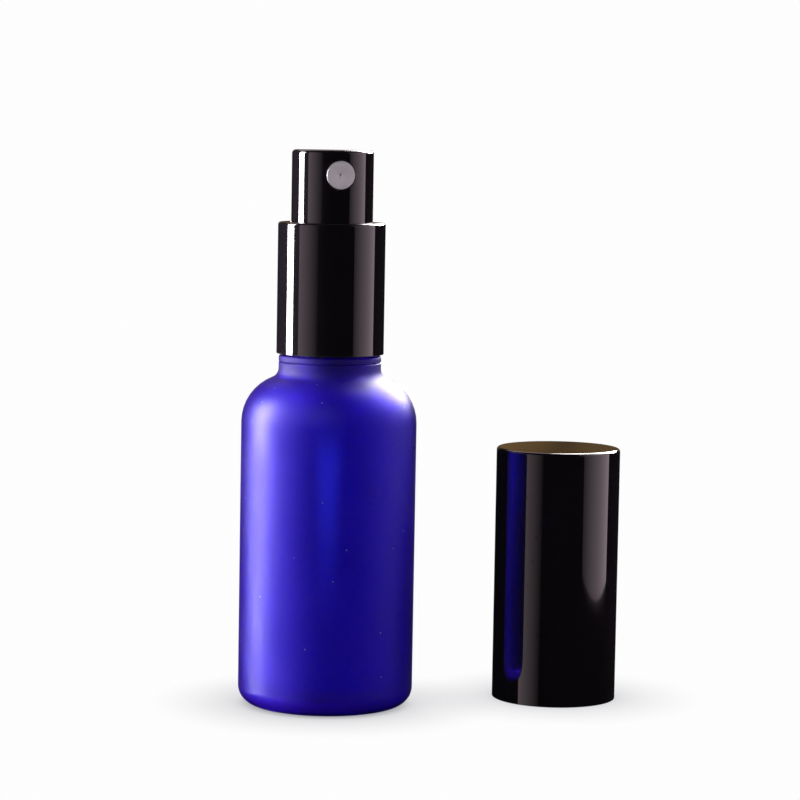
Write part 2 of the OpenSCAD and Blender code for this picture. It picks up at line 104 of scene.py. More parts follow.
def finishPiece(name, bm, body, nodes, materials, x=0.0, sharp=40):
    if x:
        bmesh.ops.translate(bm, verts=bm.verts[:], vec=(x, 0, 0))
    mesh = bpy.data.meshes.new(name)
    bm.to_mesh(mesh)
    bm.free()
    mesh.shade_smooth()
    mesh.set_sharp_from_angle(angle=math.radians(sharp))
    piece = bpy.data.objects.new(name, mesh)
    bpy.context.scene.collection.objects.link(piece)
    for finish in materials:
        mesh.materials.append(finish)
    weighted = piece.modifiers.new("evenNormals", "WEIGHTED_NORMAL")
    weighted.keep_sharp = True
    weighted.weight = 80
    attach(piece, body)
    if nodes:
        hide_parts(*nodes)
    return piece


def cutWith(piece, cutter):
    # cuts the cutter's mesh out of the piece, before the normals are evened
    bpy.context.scene.collection.objects.link(cutter)
    cut = piece.modifiers.new("cut", "BOOLEAN")
    cut.operation = "DIFFERENCE"
    cut.solver = "EXACT"
    cut.object = cutter
    piece.modifiers.move(len(piece.modifiers) - 1, 0)
    bpy.context.view_layer.objects.active = piece
    with bpy.context.temp_override(object=piece, active_object=piece, selected_objects=[piece]):
        bpy.ops.object.modifier_apply(modifier="cut")
    bpy.data.objects.remove(cutter)
    piece.data.set_sharp_from_angle(angle=math.radians(40))


# ---- effects shared by several materials

def newGroup(name, inputs, outputs):
    tree = bpy.data.node_groups.new(name, "ShaderNodeTree")
    for socket, default in inputs.items():
        made = tree.interface.new_socket(socket, in_out="INPUT", socket_type="NodeSocketFloat")
        made.default_value = default
    for socket in outputs:
        tree.interface.new_socket(socket, in_out="OUTPUT", socket_type="NodeSocketFloat")
    return tree, tree.nodes.new("NodeGroupInput"), tree.nodes.new("NodeGroupOutput")


def addNode(tree, kind, **values):
    made = tree.nodes.new("ShaderNode" + kind)
    for key, value in values.items():
        if hasattr(made, key):
            setattr(made, key, value)
        else:
            made.inputs[key].default_value = value
    return made


def linkAll(tree, *pairs):
    for start, end in pairs:
        tree.links.new(start, end)


def toneBetween(tree, factor, dark, light):
    # dark and light are each a colour, or a socket that gives one
    tone = addNode(tree, "Mix", data_type="RGBA")
    for socket, value in ((tone.inputs[6], dark), (tone.inputs[7], light)):
        if isinstance(value, tuple):
            socket.default_value = (*value, 1)
        else:
            tree.links.new(value, socket)
    tree.links.new(factor, tone.inputs[0])
    return tone.outputs[2]


def between(tree, value, low, high, shape="SMOOTHSTEP"):
    # 0 at low and 1 at high, with soft ends unless the shape is LINEAR
    ramp = addNode(tree, "MapRange", interpolation_type=shape)
    ramp.inputs["From Min"].default_value = low
    ramp.inputs["From Max"].default_value = high
    tree.links.new(value, ramp.inputs["Value"])
    return ramp.outputs["Result"]


def combine(tree, operation, first, second):
    # first is a socket, and second is a socket or a number
    made = addNode(tree, "Math", operation=operation)
    tree.links.new(first, made.inputs[0])
    if isinstance(second, (int, float)):
        made.inputs[1].default_value = second
    else:
        tree.links.new(second, made.inputs[1])
    return made.outputs[0]


grainSpread = (0.45, 1.05)    # the noise sum that gives the Low and the High roughness
wornTurn = (0.999, 0.90)      # how alike the plain and the bevelled normals are, from unworn to worn
wornPatches = (0.42, 0.62)    # the noise between which the wear comes in


def grainGroup():
    # fine moulded or etched grain over slow unevenness; Scale is in waves per metre
    tree, inp, out = newGroup("surfaceGrain", {"Scale": 4000, "Unevenness": 60, "Low": 0.3, "High": 0.4},
                              ["Roughness", "Height", "Tone"])
    where = addNode(tree, "TexCoord")
    fine = addNode(tree, "TexNoise", Detail=3.0, Roughness=0.6)
    slow = addNode(tree, "TexNoise", Detail=2.0, Roughness=0.5)
    both = addNode(tree, "Math", operation="MULTIPLY_ADD")
    both.inputs[1].default_value = 0.5
    spread = addNode(tree, "MapRange")
    spread.inputs["From Min"].default_value, spread.inputs["From Max"].default_value = grainSpread
    linkAll(tree, (where.outputs["Object"], fine.inputs["Vector"]),
            (where.outputs["Object"], slow.inputs["Vector"]), (inp.outputs["Scale"], fine.inputs["Scale"]),
            (inp.outputs["Unevenness"], slow.inputs["Scale"]), (fine.outputs["Fac"], both.inputs[0]),
            (slow.outputs["Fac"], both.inputs[2]), (both.outputs[0], spread.inputs["Value"]),
            (inp.outputs["Low"], spread.inputs["To Min"]), (inp.outputs["High"], spread.inputs["To Max"]),
            (spread.outputs["Result"], out.inputs["Roughness"]), (fine.outputs["Fac"], out.inputs["Height"]),
            (slow.outputs["Fac"], out.inputs["Tone"]))
    return tree


def specksGroup():
    # scattered dust and pinholes: small spots, one in some of the cells
    tree, inp, out = newGroup("scatteredSpecks", {"Scale": 300, "Size": 0.08, "Share": 0.2}, ["Mask"])
    where = addNode(tree, "TexCoord")
    cells = addNode(tree, "TexVoronoi")
    apart = addNode(tree, "SeparateColor")
    linkAll(tree, (where.outputs["Object"], cells.inputs["Vector"]),
            (inp.outputs["Scale"], cells.inputs["Scale"]), (cells.outputs["Color"], apart.inputs["Color"]))
    spot = combine(tree, "LESS_THAN", cells.outputs["Distance"], inp.outputs["Size"])
    chosen = combine(tree, "LESS_THAN", apart.outputs["Red"], inp.outputs["Share"])
    tree.links.new(combine(tree, "MULTIPLY", spot, chosen), out.inputs["Mask"])
    return tree


def wearGroup():
    # handling wear: a broken line where the surface turns sharply within Radius metres
    tree, inp, out = newGroup("edgeWear", {"Radius": 0.0004, "Amount": 1.0, "Scale": 900}, ["Mask"])
    rounded = addNode(tree, "Bevel", samples=4)
    surface = addNode(tree, "NewGeometry")
    alike = addNode(tree, "VectorMath", operation="DOT_PRODUCT")
    where = addNode(tree, "TexCoord")
    broken = addNode(tree, "TexNoise", Detail=4.0)
    linkAll(tree, (inp.outputs["Radius"], rounded.inputs["Radius"]),
            (rounded.outputs["Normal"], alike.inputs[0]), (surface.outputs["Normal"], alike.inputs[1]),
            (where.outputs["Object"], broken.inputs["Vector"]),
            (inp.outputs["Scale"], broken.inputs["Scale"]))
    turned = between(tree, alike.outputs["Value"], *wornTurn, "LINEAR")
    patches = between(tree, broken.outputs["Fac"], *wornPatches, "LINEAR")
    worn = combine(tree, "MULTIPLY", combine(tree, "MULTIPLY", turned, patches), inp.outputs["Amount"])
    tree.links.new(worn, out.inputs["Mask"])
    return tree


surfaceGrain = grainGroup()
scatteredSpecks = specksGroup()
edgeWear = wearGroup()


def newMaterial(name, plain):
    # plain holds the shader values that are the same all over the surface
    built = bpy.data.materials.new(name)
    built.use_nodes = True
    tree = built.node_tree
    shader = tree.nodes["Principled BSDF"]
    for socket, value in plain.items():
        shader.inputs[socket].default_value = value
    return built, tree, shader


def placeGroup(tree, group, values):
    made = tree.nodes.new("ShaderNodeGroup")
    made.node_tree = group
    for socket, value in values.items():
        made.inputs[socket].default_value = value
    return made


def addGrain(tree, shader, grain, bump, distance):
    effect = placeGroup(tree, surfaceGrain, grain)
    relief = addNode(tree, "Bump", Strength=bump, Distance=distance)
    tree.links.new(effect.outputs["Roughness"], shader.inputs["Roughness"])
    tree.links.new(effect.outputs["Height"], relief.inputs["Height"])
    tree.links.new(relief.outputs["Normal"], shader.inputs["Normal"])
    return effect


def plainFinish(name, look):
    # moulded, turned or drawn finishes: two tones, grain and bump, with a few specks
    built, tree, shader = newMaterial(name, look.get("plain", {}))
    effect = addGrain(tree, shader, look["grain"], look["bump"], look["depth"])
    tone = toneBetween(tree, effect.outputs["Tone"], look["dark"], look["light"])
    if "specks" in look:
        spots = placeGroup(tree, scatteredSpecks, look["specks"])
        tone = toneBetween(tree, spots.outputs["Mask"], tone, look["speckTone"])
    if "wear" in look:
        rubbed = placeGroup(tree, edgeWear, look["wear"])
        tone = toneBetween(tree, rubbed.outputs["Mask"], tone, look["wearTone"])
    tree.links.new(tone, shader.inputs["Base Color"])
    return built


finishes = {
    "blackLacquer": {
        "wear": {"Radius": 0.35 * mm, "Amount": 0.5, "Scale": 900}, "wearTone": (0.10, 0.085, 0.085),
        "dark": (0.006, 0.005, 0.007), "light": (0.010, 0.008, 0.011), "bump": 0.02, "depth": 0.02 * mm,
        "grain": {"Scale": 700, "Unevenness": 90, "Low": 0.035, "High": 0.075},
        "specks": {"Scale": 260, "Size": 0.05, "Share": 0.12}, "speckTone": (0.05, 0.045, 0.05),
        "plain": {"IOR": 1.52, "Coat Weight": 0.6, "Coat Roughness": 0.03, "Coat IOR": 1.5}},
    "blackPolypropylene": {
        "wear": {"Radius": 0.3 * mm, "Amount": 0.6, "Scale": 700}, "wearTone": (0.05, 0.05, 0.052),
        "dark": (0.010, 0.010, 0.011), "light": (0.020, 0.019, 0.021), "bump": 0.15, "depth": 0.03 * mm,
        "grain": {"Scale": 5000, "Unevenness": 200, "Low": 0.28, "High": 0.42}},
    "whiteAcetal": {
        "dark": (0.74, 0.74, 0.73), "light": (0.84, 0.84, 0.83), "bump": 0.1, "depth": 0.03 * mm,
        "grain": {"Scale": 4000, "Unevenness": 300, "Low": 0.25, "High": 0.38},
        "plain": {"Subsurface Weight": 0.15, "Subsurface Scale": 0.001}},
    "naturalPolypropylene": {
        "dark": (0.66, 0.68, 0.70), "light": (0.78, 0.80, 0.82), "bump": 0.1, "depth": 0.03 * mm,
        "grain": {"Scale": 3500, "Unevenness": 250, "Low": 0.28, "High": 0.42},
        "plain": {"Subsurface Weight": 0.2, "Subsurface Scale": 0.001}},
    "milkyTube": {
        "dark": (0.70, 0.74, 0.80), "light": (0.82, 0.86, 0.92), "bump": 0.08, "depth": 0.02 * mm,
        "grain": {"Scale": 2500, "Unevenness": 180, "Low": 0.2, "High": 0.32},
        "plain": {"Transmission Weight": 0.35, "IOR": 1.45}},
    "sprayInsert": {
        "dark": (0.82, 0.79, 0.83), "light": (0.96, 0.93, 0.97), "bump": 0.12, "depth": 0.02 * mm,
        "grain": {"Scale": 6000, "Unevenness": 500, "Low": 0.42, "High": 0.56},
        "specks": {"Scale": 1800, "Size": 0.12, "Share": 0.1}, "speckTone": (0.60, 0.58, 0.62)},
    "foamGasket": {
        "dark": (0.68, 0.68, 0.66), "light": (0.82, 0.82, 0.80), "bump": 0.4, "depth": 0.05 * mm,
        "grain": {"Scale": 5000, "Unevenness": 600, "Low": 0.6, "High": 0.8}},
    "nitrileSeal": {
        "dark": (0.018, 0.018, 0.018), "light": (0.035, 0.034, 0.033), "bump": 0.3, "depth": 0.04 * mm,
        "grain": {"Scale": 4500, "Unevenness": 400, "Low": 0.5, "High": 0.68}},
    "springSteel": {
        "dark": (0.50, 0.50, 0.52), "light": (0.66, 0.66, 0.68), "bump": 0.1, "depth": 0.01 * mm,
        "grain": {"Scale": 9000, "Unevenness": 900, "Low": 0.16, "High": 0.28},
        "plain": {"Metallic": 1.0}},
}
material = {name: plainFinish(name, look) for name, look in finishes.items()}

glass = {
    # shade is the colour of the painted shade towards the sides, the heel and the neck
    "deep": (0.018, 0.0005, 0.66), "clear": (0.040, 0.001, 0.86), "shade": (0.022, 0.004, 0.20),
    # a painted glow: the colour and the ranges of a soft streak that the glass emits
    "paintedGlow": (0.006, 0.010, 0.24), "paintedGlowFacing": (0.024, 0.0),
    "paintedGlowRise": (14 * mm, 46 * mm), "paintedGlowFall": (57 * mm, 45 * mm),
    "edgeFacing": (0.24, 0.85), "polishFacing": (0.35, 0.85),
    "heelHeight": (6 * mm, 0), "neckHeight": (59 * mm, 64 * mm),
    "edgePolish": -0.14, "neckFrost": 0.14, "endShade": 0.8,
    "grain": {"Scale": 1900, "Unevenness": 90, "Low": 0.39, "High": 0.55},
    "bump": 0.35, "depth": 0.06 * mm,
    "specks": {"Scale": 420, "Size": 0.07, "Share": 0.16}, "speckTone": (0.22, 0.20, 0.80),
    "plain": {"Transmission Weight": 0.65, "IOR": 1.46, "Specular IOR Level": 0.15,
              "Specular Tint": (0.95, 0.84, 1.0, 1), "Emission Strength": 1.0},
}


def frostedGlass():
    built, tree, shader = newMaterial("frostedCobalt", glass["plain"])
    effect = addGrain(tree, shader, glass["grain"], glass["bump"], glass["depth"])
    tone = toneBetween(tree, effect.outputs["Tone"], glass["deep"], glass["clear"])
    spots = placeGroup(tree, scatteredSpecks, glass["specks"])
    slant = addNode(tree, "LayerWeight", Blend=0.5).outputs["Facing"]
    where = addNode(tree, "TexCoord")
    axes = addNode(tree, "SeparateXYZ")
    tree.links.new(where.outputs["Object"], axes.inputs[0])
    height = axes.outputs["Z"]
    # painted glow: the glass emits a soft streak up its middle as seen, in the upper half
    paintedGlowBand = combine(tree, "MULTIPLY", between(tree, height, *glass["paintedGlowRise"]),
                   between(tree, height, *glass["paintedGlowFall"]))
    paintedGlow = combine(tree, "MULTIPLY", between(tree, slant, *glass["paintedGlowFacing"]), paintedGlowBand)
    paintedGlowColour = toneBetween(tree, paintedGlow, (0.0, 0.0, 0.0), glass["paintedGlow"])
    tree.links.new(paintedGlowColour, shader.inputs["Emission Color"])
    # the frosting looks smoother where it is seen at a slant, and is coarser on the neck
    polish = combine(tree, "MULTIPLY", between(tree, slant, *glass["polishFacing"]), glass["edgePolish"])
    frost = combine(tree, "MULTIPLY", between(tree, height, *glass["neckHeight"]), glass["neckFrost"])
    rough = combine(tree, "ADD", effect.outputs["Roughness"], combine(tree, "ADD", polish, frost))
    tree.links.new(rough, shader.inputs["Roughness"])
    # painted shade: the base colour turns darker towards the sides as seen, at the heel, and on the neck
    # under the collar
    paintedEndShade = combine(tree, "MAXIMUM", between(tree, height, *glass["heelHeight"]),
                   between(tree, height, *glass["neckHeight"]))
    paintedEndShade = combine(tree, "MULTIPLY", paintedEndShade, glass["endShade"])
    shade = combine(tree, "MAXIMUM", between(tree, slant, *glass["edgeFacing"]), paintedEndShade)
    tone = toneBetween(tree, shade, tone, glass["shade"])
    tone = toneBetween(tree, spots.outputs["Mask"], tone, glass["speckTone"])
    tree.links.new(tone, shader.inputs["Base Color"])
    return built


innerLook = {
    "grain": {"Scale": 120, "Unevenness": 40, "Low": 0.05, "High": 0.12}, "bump": 0.05, "depth": 0.1 * mm,
    "plain": {"Transmission Weight": 0.65, "IOR": 1.46, "Specular IOR Level": 0.15},
}


def innerGlass():
    # the fire-polished inside of the bottle
    built, tree, shader = newMaterial("polishedCobalt", innerLook["plain"])
    effect = addGrain(tree, shader, innerLook["grain"], innerLook["bump"], innerLook["depth"])
    tone = toneBetween(tree, effect.outputs["Tone"], glass["deep"], glass["clear"])
    tree.links.new(tone, shader.inputs["Base Color"])
    return built


material["frostedCobalt"] = frostedGlass()
material["polishedCobalt"] = innerGlass()
print("materials made")

# ---- bottle

bottle = {
    "wall": 2.2 * mm, "base": 3.0 * mm, "heel": 3.5 * mm, "shoulder": 9.0 * mm, "fillet": 2.0 * mm,
    "punt": 0.8 * mm, "foot": 3.0 * mm, "neckRing": 3.7 * mm, "neckRadius": 9.62 * mm, "finish": 14.3 * mm,
    "finishRadius": 8.0 * mm, "mouthRadius": 5.6 * mm, "lip": 1.5 * mm, "floor": 3.0 * mm,
    "ringEdge": 0.5 * mm, "mouthEdge": 0.8 * mm, "mouthBreak": 0.3 * mm, "groove": 0.16 * mm,
    "grooveDrop": 1.25 * mm,
}


def bottleOutline(bm):
    b, box = bottle, extent("glass_bottle")
    r, top = box["r"], box["z1"]
    ringTop = top - b["finish"]
    shoulderX = r - b["shoulder"]
    shoulderZ = ringTop - b["neckRing"] - b["shoulder"]
    filletX = b["neckRadius"] + b["fillet"]
    rise = math.sqrt((b["shoulder"] + b["fillet"]) ** 2 - (filletX - shoulderX) ** 2)
    filletZ = shoulderZ + rise
    filletTurn = math.degrees(math.atan2(rise, filletX - shoulderX))
    inner = r - b["wall"]
    innerShoulder = b["shoulder"] - b["wall"]
    lipX = b["mouthRadius"] + b["lip"]
    lipZ = shoulderZ + innerShoulder + b["lip"]
    grooveZ = ringTop - b["grooveDrop"]
    footInner = r - b["heel"] - b["foot"]
    dome = (footInner ** 2 + b["punt"] ** 2) / (2 * b["punt"])
    domeTurn = math.degrees(math.asin(footInner / dome))
    trace(bm, [
        (0, b["punt"]), (0, b["punt"] - dome, -domeTurn), (r - b["heel"], 0), (r - b["heel"], b["heel"], 90),
        (r, shoulderZ), (shoulderX, shoulderZ, filletTurn), (filletX, filletZ, -filletTurn),
        (b["neckRadius"], grooveZ - b["groove"]), (b["neckRadius"] - b["groove"], grooveZ),
        (b["neckRadius"], grooveZ + b["groove"]), (b["neckRadius"], ringTop - b["ringEdge"]),
        (b["neckRadius"] - b["ringEdge"], ringTop - b["ringEdge"], 90), (b["finishRadius"], ringTop),
        (b["finishRadius"], top - b["mouthEdge"]),
        (b["finishRadius"] - b["mouthEdge"], top - b["mouthEdge"], 90),
        (b["mouthRadius"] + b["mouthBreak"], top), (b["mouthRadius"], top - b["mouthBreak"]),
        (b["mouthRadius"], lipZ),
        (lipX, lipZ, 90), (shoulderX, shoulderZ + innerShoulder), (shoulderX, shoulderZ, -90),
        (inner, b["base"] + b["floor"]), (inner - b["floor"], b["base"] + b["floor"], -90), (0, b["base"])])


def makeBottle():
    bm = bmesh.new()
    bottleOutline(bm)
    spinRound(bm)
    # the inner wall and the floor inside are polished, and all the rest is frosted
    aboveHollow = (bottle["punt"] + bottle["base"]) / 2
    neckInside = bottle["neckRadius"] - bottle["ringEdge"]
    belowNeck = extent("glass_bottle")["z1"] - bottle["finish"] - bottle["neckRing"]
    for face in bm.faces:
        middle = face.calc_center_median()
        inwards = face.normal.x * middle.x + face.normal.y * middle.y < 0
        deep = middle.z < belowNeck and math.hypot(middle.x, middle.y) < neckInside
        if middle.z > aboveHollow and (inwards or deep):
            face.material_index = 1
    finishPiece("frostedBottle", bm, "bottle", ["glass_bottle"],
                [material["frostedCobalt"], material["polishedCobalt"]])


neckThread = {"pitch": 3.0 * mm, "turns": 1.5, "depth": 0.85 * mm, "root": 1.7 * mm, "crest": 0.6 * mm,
              "topDrop": 2.6 * mm, "sunk": 0.2 * mm, "steps": 72}


def makeNeckThread():
    t = neckThread
    low = extent("glass_bottle")["z1"] - t["topDrop"] - t["pitch"] * t["turns"]
    inner, outer = bottle["finishRadius"] - t["sunk"], bottle["finishRadius"] + t["depth"]
    bm = bmesh.new()
    corners(bm, [(inner, low - t["root"] / 2), (outer, low - t["crest"] / 2),
                 (outer, low + t["crest"] / 2), (inner, low + t["root"] / 2)])
    start = bm.edges[:]
    steps = round(t["steps"] * t["turns"])
    run = bmesh.ops.spin(bm, geom=bm.verts[:] + start, cent=(0, 0, 0), axis=(0, 0, 1),
                         dvec=(0, 0, t["pitch"] / t["steps"]), angle=2 * math.pi * t["turns"], steps=steps)
    end = [e for e in run["geom_last"] if isinstance(e, bmesh.types.BMEdge)]
    bmesh.ops.contextual_create(bm, geom=start)
    bmesh.ops.contextual_create(bm, geom=end)
    bmesh.ops.recalc_face_normals(bm, faces=bm.faces[:])
    finishPiece("neckThread", bm, "bottle", [], [material["frostedCobalt"]], sharp=30)


makeBottle()
makeNeckThread()
print("bottle made")

# ---- collar

collar = {"skin": 0.3 * mm, "edge": 0.5 * mm, "rim": 0.1 * mm, "guideRadius": 8.0 * mm}


def makeCollarShell():
    box = extent("collar_shell")
    r, z0, z1, t = box["r"], box["z0"], box["z1"], collar["skin"]
    hole, rim = collar["guideRadius"], collar["rim"]
    bm = bmesh.new()
    corners(bm, [(r - t, z0), (r, z0, rim), (r, z1, collar["edge"]), (hole, z1, rim), (hole, z1 - t),
                 (r - t, z1 - t)])
    spinRound(bm)
    finishPiece("collarShell", bm, "collar", ["collar_shell"], [material["blackLacquer"]])


makeCollarShell()

# ---- button

button = {"skin": 0.3 * mm, "edge": 0.7 * mm, "rim": 0.1 * mm, "holeGap": 0.15 * mm, "turn": 0.0,
          "insertRadius": 2.65 * mm}


def nozzlePlace():
    # turns +Z to the way the button sprays, at the height of the opening
    low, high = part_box("nozzle_insert")
    height = (low[2] + high[2]) / 2
    return (Matrix.Translation((0, 0, height)) @ Matrix.Rotation(math.radians(button["turn"]), 4, "Z")
            @ Matrix.Rotation(math.radians(90), 4, "X"))


def plug(name, radius, start, end):
    # a round cutter along the way that the button sprays
    bm = bmesh.new()
    bmesh.ops.create_cone(bm, cap_ends=True, segments=nozzleSteps, radius1=radius, radius2=radius,
                          depth=end - start)
    bmesh.ops.translate(bm, verts=bm.verts[:], vec=(0, 0, (start + end) / 2))
    bmesh.ops.transform(bm, matrix=nozzlePlace(), verts=bm.verts[:])
    mesh = bpy.data.meshes.new(name)
    bm.to_mesh(mesh)
    bm.free()
    return bpy.data.objects.new(name, mesh)


def makeButtonShell():
    box = extent("actuator_shell")
    r, z0, z1, t, edge = box["r"], box["z0"], box["z1"], button["skin"], button["edge"]
    bm = bmesh.new()
    corners(bm, [(r - t, z0), (r, z0, button["rim"]), (r, z1, edge), (0, z1), (0, z1 - t),
                 (r - t, z1 - t, edge - t)])
    openAxis(bm)
    spinRound(bm)
    shell = finishPiece("buttonShell", bm, "actuator", ["actuator_shell"],
                        [material["blackLacquer"]])
    cutWith(shell, plug("hole", button["insertRadius"] + button["holeGap"], r / 2, r * 1.5))


insert = {"edge": 0.15 * mm, "orifice": 0.15 * mm, "dimple": 0.6 * mm, "dimpleDepth": 0.35 * mm,
          "faceIn": 0.3 * mm, "length": 2.92 * mm, "cavity": 1.1 * mm, "cavityDepth": 2.1 * mm}


def makeInsert():
    face = extent("actuator_shell")["r"] - insert["faceIn"]
    foot = face - insert["length"]
    r, o, d, c = button["insertRadius"], insert["orifice"], insert["dimple"], insert["cavity"]
    ceiling = foot + insert["cavityDepth"]
    bm = bmesh.new()
    corners(bm, [(c, foot), (r, foot), (r, face, insert["edge"]), (d, face),
                 (o, face - insert["dimpleDepth"]), (o, ceiling), (c, ceiling)])
    spinRound(bm, nozzleSteps)
    bmesh.ops.transform(bm, matrix=nozzlePlace(), verts=bm.verts[:])
    finishPiece("sprayInsert", bm, "actuator", ["nozzle_insert"],
                [material["sprayInsert"]])


makeButtonShell()
makeInsert()
print("collar and button made")

# ---- springs

coil = {"stepsPerTurn": 48, "sides": 16, "closedPitch": 1.02}   # the pitch is in wires
springs = {
    "returnSpring": {"node": "return_spring", "body": "pump", "wire": 0.5 * mm, "turns": 8,
                     "joint": "button_press", "fixedEnd": "z0", "keep": 0.50},
    "pistonSpring": {"node": "piston_spring", "body": "stem", "wire": 0.3 * mm, "turns": 3,
                     "joint": "piston_slip", "fixedEnd": "z1", "keep": 0.64},
}


def makeSpring(name, spring):
    # a wire's round section goes up through a closed turn, the open turns and a closed turn
    box, wire = extent(spring["node"]), spring["wire"]
    closed, middle = wire * coil["closedPitch"], spring["turns"] - 2
    rise = (box["z1"] - box["z0"] - wire - 2 * closed) / middle
    bm = bmesh.new()
    bmesh.ops.create_circle(bm, cap_ends=True, segments=coil["sides"], radius=wire / 2)
    bmesh.ops.rotate(bm, verts=bm.verts[:], cent=(0, 0, 0), matrix=Matrix.Rotation(math.radians(90), 3, "X"))
    bmesh.ops.translate(bm, verts=bm.verts[:], vec=(box["r"] - wire / 2, 0, box["z0"] + wire / 2))
    section = bm.verts[:] + bm.edges[:]
    for turns, pitch in ((1, closed), (middle, rise), (1, closed)):
        run = bmesh.ops.spin(bm, geom=section, cent=(0, 0, 0), axis=(0, 0, 1),
                             dvec=(0, 0, pitch / coil["stepsPerTurn"]), angle=2 * math.pi * turns,
                             steps=coil["stepsPerTurn"] * turns)
        section = [g for g in run["geom_last"] if not isinstance(g, bmesh.types.BMFace)]
    bmesh.ops.contextual_create(bm, geom=[g for g in section if isinstance(g, bmesh.types.BMEdge)])
    bmesh.ops.recalc_face_normals(bm, faces=bm.faces[:])
    made = finishPiece(name, bm, spring["body"], [spring["node"]], [material["springSteel"]])
    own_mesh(made)


for name, spring in springs.items():
    makeSpring(name, spring)
print("springs made")

# ---- overcap

cap = {"skin": 0.4 * mm, "edge": 0.6 * mm, "rim": 0.12 * mm}


def makeCapShell():
    box = extent("cap_shell")
    r, z1, t, edge = box["r"], box["z1"], cap["skin"], cap["edge"]
    bm = bmesh.new()
    corners(bm, [(r - t, 0, cap["rim"]), (r, 0, cap["rim"]), (r, z1, edge), (0, z1), (0, z1 - t),
                 (r - t, z1 - t, edge - t)])
    openAxis(bm)
    spinRound(bm)
    finishPiece("capShell", bm, "cap", ["cap_shell"], [material["blackLacquer"]], x=box["x"])


makeCapShell()
print("overcap made")

# ---- finishes of the pieces that stay as the frame gives them

stays = {
    "neck_gasket": "foamGasket", "stem_gasket": "nitrileSeal", "dip_tube": "milkyTube",
    "pump_housing": "naturalPolypropylene", "ball_cage": "naturalPolypropylene",
    "piston": "naturalPolypropylene", "inlet_ball": "springSteel", "turret": "whiteAcetal",
    "upper_stem": "whiteAcetal", "lower_stem": "whiteAcetal", "screw_closure": "blackPolypropylene",
    "actuator_core": "blackPolypropylene", "cap_liner": "blackPolypropylene",
}
for node, finish in stays.items():
    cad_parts[node].data.materials.clear()
    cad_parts[node].data.materials.append(material[finish])
print("finishes placed")

# ---- floor, world, lights and camera

setting = {
    "floorSize": 6.0, "pale": (0.985, 0.985, 0.985), "dim": (0.004, 0.0035, 0.004),
    "warm": (0.17, 0.10, 0.035), "through": (0.42, 0.42, 0.60), "floorTone": (0.06, 0.06, 0.065),
    "shadowTone": (0.36, 0.36, 0.40), "shadowReach": 18 * mm,
    "warmBehind": (0.80, 1.0), "warmAbove": (0.0, 0.05), "warmPatches": (0.1, 0.62), "patchScale": 26.0,
}
view = {"azimuth": -13.5, "across": 13.3 * mm, "away": 548 * mm, "height": 107.8 * mm, "pitch": 5.2,
        "roll": 1.0, "lens": 131.6, "sensor": 36}
facing = Matrix.Rotation(math.radians(view["azimuth"]), 4, "Z")


def makeFloor():
    bm = bmesh.new()
    bmesh.ops.create_grid(bm, x_segments=2, y_segments=2, size=setting["floorSize"])
    mesh = bpy.data.meshes.new("floor")
    bm.to_mesh(mesh)
    bm.free()
    floor = bpy.data.objects.new("floor", mesh)
    bpy.context.scene.collection.objects.link(floor)
    built = bpy.data.materials.new("paleFloor")
    built.use_nodes = True
    tree = built.node_tree
    tree.nodes.remove(tree.nodes["Principled BSDF"])
    out = tree.nodes["Material Output"]
    matt = addNode(tree, "BsdfDiffuse", Color=(*setting["floorTone"], 1))
    # the camera sees the floor as an even pale glow with a painted contact shadow, darker where ambient
    # occlusion finds the object within shadowReach
    nearby = addNode(tree, "AmbientOcclusion", samples=16, Distance=setting["shadowReach"])
    tone = toneBetween(tree, nearby.outputs["AO"], setting["shadowTone"], setting["pale"])
    glow = addNode(tree, "Emission", Strength=1.0)
    path = addNode(tree, "LightPath")
    pick = addNode(tree, "MixShader")
    linkAll(tree, (tone, glow.inputs["Color"]), (path.outputs["Is Camera Ray"], pick.inputs["Fac"]),
            (matt.outputs[0], pick.inputs[1]), (glow.outputs[0], pick.inputs[2]),
            (pick.outputs[0], out.inputs["Surface"]))
    mesh.materials.append(built)
    floor.visible_glossy = False


def makeWorld():
    # the camera sees a pale backdrop, the glass lets some of it through, and what is mirrored is a dark
    # room with an uneven warm glow low behind the object
    world = bpy.data.worlds.new("studio")
    world.use_nodes = True
    bpy.context.scene.world = world
    tree = world.node_tree
    out = tree.nodes["World Output"]
    seen = tree.nodes["Background"]
    seen.inputs["Color"].default_value = (*setting["pale"], 1)
    room = addNode(tree, "Background")
    through = addNode(tree, "Background", Color=(*setting["through"], 1))
    path = addNode(tree, "LightPath")
    pick = addNode(tree, "MixShader")
    passed = addNode(tree, "MixShader")
    where = addNode(tree, "TexCoord")
    behind = addNode(tree, "VectorMath", operation="DOT_PRODUCT")
    behind.inputs[1].default_value = facing @ Vector((0, 1, 0))
    uneven = addNode(tree, "TexNoise", Scale=setting["patchScale"], Detail=3.0)
    axes = addNode(tree, "SeparateXYZ")
    linkAll(tree, *[(where.outputs["Generated"], taken)
                    for taken in (behind.inputs[0], axes.inputs[0], uneven.inputs["Vector"])])
    glow = combine(tree, "MULTIPLY", between(tree, behind.outputs["Value"], *setting["warmBehind"]),
                   between(tree, axes.outputs["Z"], *setting["warmAbove"]))
    patchy = combine(tree, "MULTIPLY", glow, between(tree, uneven.outputs["Fac"], *setting["warmPatches"]))
    tone = toneBetween(tree, patchy, setting["dim"], setting["warm"])
    linkAll(tree, (tone, room.inputs["Color"]), (path.outputs["Is Transmission Ray"], passed.inputs["Fac"]),
            (room.outputs[0], passed.inputs[1]), (through.outputs[0], passed.inputs[2]),
            (path.outputs["Is Camera Ray"], pick.inputs["Fac"]), (passed.outputs[0], pick.inputs[1]),
            (seen.outputs[0], pick.inputs[2]), (pick.outputs[0], out.inputs["Surface"]))


